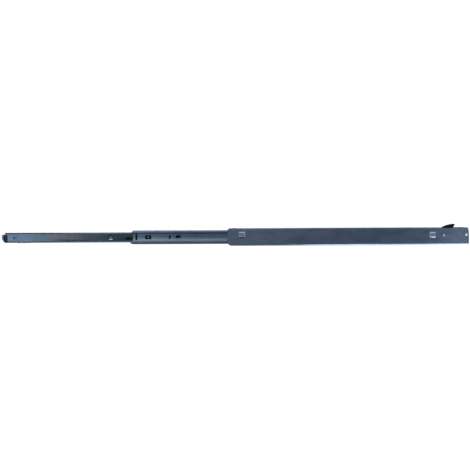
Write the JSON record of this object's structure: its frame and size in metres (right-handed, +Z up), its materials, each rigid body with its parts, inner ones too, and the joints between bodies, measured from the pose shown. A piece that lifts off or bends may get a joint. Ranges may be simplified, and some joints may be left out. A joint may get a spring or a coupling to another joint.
{
  "type": "cabinet drawer slide",
  "caption": "Full-extension three-member ball-bearing drawer slide with hook tabs for a steel cabinet, a sprung rear latch and a release lever.",
  "frame": {"origin": "on the mounting face of the cabinet member, at its front end and at half its height", "axes": "+X along the slide towards the back of the cabinet; +Y through the slide's thickness from the cabinet side to the drawer side; +Z up"},
  "size_m": [1.1825, 0.0195, 0.0535],
  "materials": {
    "dark_zinc": "dark blue-black zinc plate, satin",
    "middle_zinc": "dark blue-black zinc plate, satin",
    "blue_zinc": "dark blue zinc plate, polished by rolling",
    "bare_steel": "bright zinc plate",
    "grey_zinc": "clear zinc plate, dull",
    "ball_steel": "polished bearing steel with a film of grease",
    "black_plastic": "moulded black plastic, fine grain",
    "navy_rubber": "dark navy rubber"
  },
  "bodies": {
    "cabinet_member": {"cabinet_channel": "dark_zinc", "rear_bumper": "black_plastic", "latch_rivet": "bare_steel", "latch_spacer": "bare_steel", "latch_spring": "bare_steel"},
    "latch": {"rear_latch": "black_plastic"},
    "outer_retainer": {"outer_cage": "black_plastic", "outer_balls_upper": "ball_steel", "outer_balls_lower": "ball_steel"},
    "middle_member": {"middle_channel": "middle_zinc"},
    "inner_retainer": {"inner_cage": "black_plastic", "inner_balls_upper": "ball_steel", "inner_balls_lower": "ball_steel"},
    "drawer_member": {"drawer_channel": "blue_zinc", "front_plate": "grey_zinc", "plate_rivet": "dark_zinc", "front_bumper": "navy_rubber", "detent_spring": "dark_zinc", "lever_rivet": "bare_steel"},
    "lever": {"release_lever": "black_plastic"}
  },
  "joints": [
    {"name": "middle_slide", "type": "slide", "parent": "cabinet_member", "child": "middle_member", "axis": [1, 0, 0], "range_m": [0, 0.247]},
    {"name": "outer_retainer_slide", "type": "slide", "parent": "cabinet_member", "child": "outer_retainer", "axis": [1, 0, 0], "range_m": [0, 0.1235]},
    {"name": "drawer_slide", "type": "slide", "parent": "middle_member", "child": "drawer_member", "axis": [1, 0, 0], "range_m": [0, 0.3195]},
    {"name": "inner_retainer_slide", "type": "slide", "parent": "middle_member", "child": "inner_retainer", "axis": [1, 0, 0], "range_m": [0, 0.15975]},
    {"name": "release_lever_pivot", "type": "hinge", "parent": "drawer_member", "child": "lever", "pos_m": [-0.201, 0.009, 0], "axis": [0, -1, 0], "range_deg": [0, 4], "stiffness_Nm_per_rad": 0.03, "springref_deg": -5.73},
    {"name": "rear_latch_pivot", "type": "hinge", "parent": "cabinet_member", "child": "latch", "pos_m": [0.547, 0.006, 0.002], "axis": [0, 1, 0], "range_deg": [0, 24], "stiffness_Nm_per_rad": 0.05, "springref_deg": -8.59, "deforming": ["latch_spring"]}
  ],
  "couplings": [
    {"joint": "outer_retainer_slide", "follows": "middle_slide", "ratio": 0.5},
    {"joint": "inner_retainer_slide", "follows": "drawer_slide", "ratio": 0.5}
  ]
}
